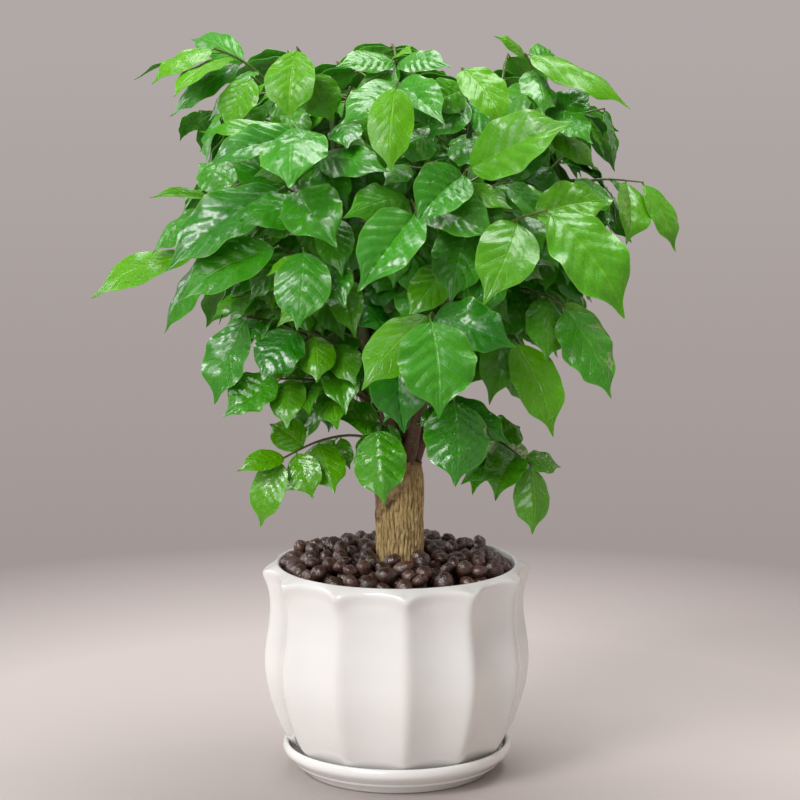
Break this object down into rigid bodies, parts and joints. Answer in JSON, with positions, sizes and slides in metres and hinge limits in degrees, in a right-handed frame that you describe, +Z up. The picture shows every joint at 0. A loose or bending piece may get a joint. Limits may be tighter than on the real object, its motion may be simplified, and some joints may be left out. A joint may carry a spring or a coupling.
{
  "type": "potted china doll plant",
  "caption": "Small pruned china doll tree with glossy leaflets on shoots from a cut trunk, in a fluted glazed pot with clay balls and a saucer.",
  "frame": {"origin": "middle of the saucer's flat underside, on the pot's axis", "axes": "+Z up along the pot's axis, -Y towards the front of the plant, +X to the viewer's right"},
  "size_m": [0.339, 0.3016, 0.4417],
  "materials": {
    "saucer_glaze": "gloss",
    "pot_glaze": "gloss",
    "soil": "matte",
    "fired_clay": "satin",
    "bark": "matte",
    "green_wood": "satin",
    "leaf": "gloss"
  },
  "bodies": {
    "root": {"clay_balls": "fired_clay", "leaf_back_left": "leaf", "leaf_back_low": "leaf", "leaf_back_low_left": "leaf", "leaf_back_low_mid": "leaf", "leaf_back_low_right": "leaf", "leaf_back_mid": "leaf", "leaf_back_mid_right": "leaf", "leaf_back_right": "leaf", "leaf_back_top": "leaf", "leaf_back_top_left": "leaf", "leaf_back_top_right": "leaf", "leaf_back_upper": "leaf", "leaf_back_upper_left": "leaf", "leaf_back_upper_mid": "leaf", "leaf_back_upper_right": "leaf", "leaf_centre_left": "leaf", "leaf_centre_low": "leaf", "leaf_centre_right": "leaf", "leaf_centre_right_upper": "leaf", "leaf_centre_upper": "leaf", "leaf_far_right": "leaf", "leaf_front_centre": "leaf", "leaf_front_lime": "leaf", "leaf_left_front_mid": "leaf", "leaf_left_glossy": "leaf", "leaf_left_inner": "leaf", "leaf_left_large": "leaf", "leaf_left_long": "leaf", "leaf_left_mid": "leaf", "leaf_left_upper": "leaf", "leaf_low_centre_right": "leaf", "leaf_low_front": "leaf", "leaf_low_left": "leaf", "leaf_low_left_upper": "leaf", "leaf_low_right": "leaf", "leaf_right_bright": "leaf", "leaf_right_low": "leaf", "leaf_right_pale": "leaf", "leaf_right_quilted": "leaf", "leaf_top_arch": "leaf", "leaf_top_centre": "leaf", "leaf_top_front_left": "leaf", "leaf_top_left": "leaf", "leaf_top_right": "leaf", "leaf_upper_front_left": "leaf", "leaf_upper_left_front": "leaf", "leaf_upper_right": "leaf", "leaf_upper_right_lime": "leaf", "pot": "pot_glaze", "potting_soil": "soil", "saucer": "saucer_glaze", "stem_back_left": "green_wood", "stem_back_right": "green_wood", "stem_centre": "green_wood", "stem_front_left": "green_wood", "stem_front_right": "green_wood", "stem_left": "green_wood", "stem_right": "green_wood", "trunk": "bark"}
  },
  "joints": []
}
